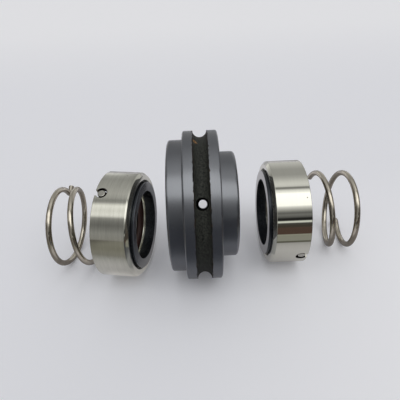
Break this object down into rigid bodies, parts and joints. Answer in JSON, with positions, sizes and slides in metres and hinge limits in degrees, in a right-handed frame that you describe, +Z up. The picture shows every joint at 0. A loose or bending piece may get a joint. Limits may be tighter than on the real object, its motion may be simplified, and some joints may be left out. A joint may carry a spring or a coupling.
{
  "type": "double mechanical seal",
  "caption": "Grooved ceramic seat ring lying between rotary seal heads in steel retainers with carbon faces and loose coil springs, laid out in a row ready to fit on a shaft.",
  "frame": {"origin": "on the axis of the seat's bore, at the middle of the flange's width", "axes": "+X along the seat's axis towards its smaller shoulder, -Y towards the viewer in the picture, +Z up from the table, which is at Z = -38 mm"},
  "size_m": [0.1652, 0.076, 0.076],
  "materials": {
    "seat_ceramic": "ground grey silicon carbide, satin; the groove left rough",
    "satin_steel": "turned stainless steel, fine turning lines",
    "polished_steel": "turned stainless steel, nearly polished",
    "carbon": "resin-bonded carbon, lapped face",
    "brown_rubber": "dark reddish-brown O-ring rubber, semi-matt",
    "spring_steel": "drawn stainless spring wire, bright"
  },
  "bodies": {
    "seat": {"stationary_seat": "seat_ceramic"},
    "left_carrier": {"left_o_ring": "brown_rubber", "left_thrust_ring": "satin_steel"},
    "left_head": {"left_retainer": "satin_steel", "left_face_ring": "carbon"},
    "left_coil": {"left_spring": "spring_steel"},
    "right_carrier": {"right_o_ring": "brown_rubber", "right_thrust_ring": "satin_steel"},
    "right_head": {"right_retainer": "polished_steel", "right_face_ring": "carbon"},
    "right_coil": {"right_spring": "spring_steel"}
  },
  "joints": [
    {"name": "left_advance", "type": "hinge", "parent": "seat", "child": "left_carrier", "pos_m": [-0.03132, 0.09029, -0.00911], "axis": [-0.6013, 0.0457, 0.7977], "range_deg": [0, 10.89]},
    {"name": "left_spin", "type": "hinge", "parent": "left_carrier", "child": "left_head", "pos_m": [-0.03005, -0.0017, -0.01038], "axis": [0.9885, -0.1513, 0], "continuous": true},
    {"name": "left_spring_advance", "type": "slide", "parent": "seat", "child": "left_coil", "axis": [0.8879, -0.1911, 0.4183], "range_m": [0, 0.0383], "deforming": ["left_spring"]},
    {"name": "right_advance", "type": "slide", "parent": "seat", "child": "right_carrier", "axis": [-0.797, -0.2828, 0.5337], "range_m": [0, 0.01944]},
    {"name": "right_spin", "type": "hinge", "parent": "right_carrier", "child": "right_head", "pos_m": [0.03255, 0.0055, -0.01038], "axis": [1, 0, 0], "continuous": true},
    {"name": "right_spring_advance", "type": "slide", "parent": "seat", "child": "right_coil", "axis": [-0.8761, -0.3224, 0.3585], "range_m": [0, 0.0447], "deforming": ["right_spring"]}
  ],
  "couplings": [
    {"joint": "left_spring_advance", "follows": "left_advance", "m_per_rad": 0.20114},
    {"joint": "right_spring_advance", "follows": "right_advance", "ratio": 2.2948}
  ]
}
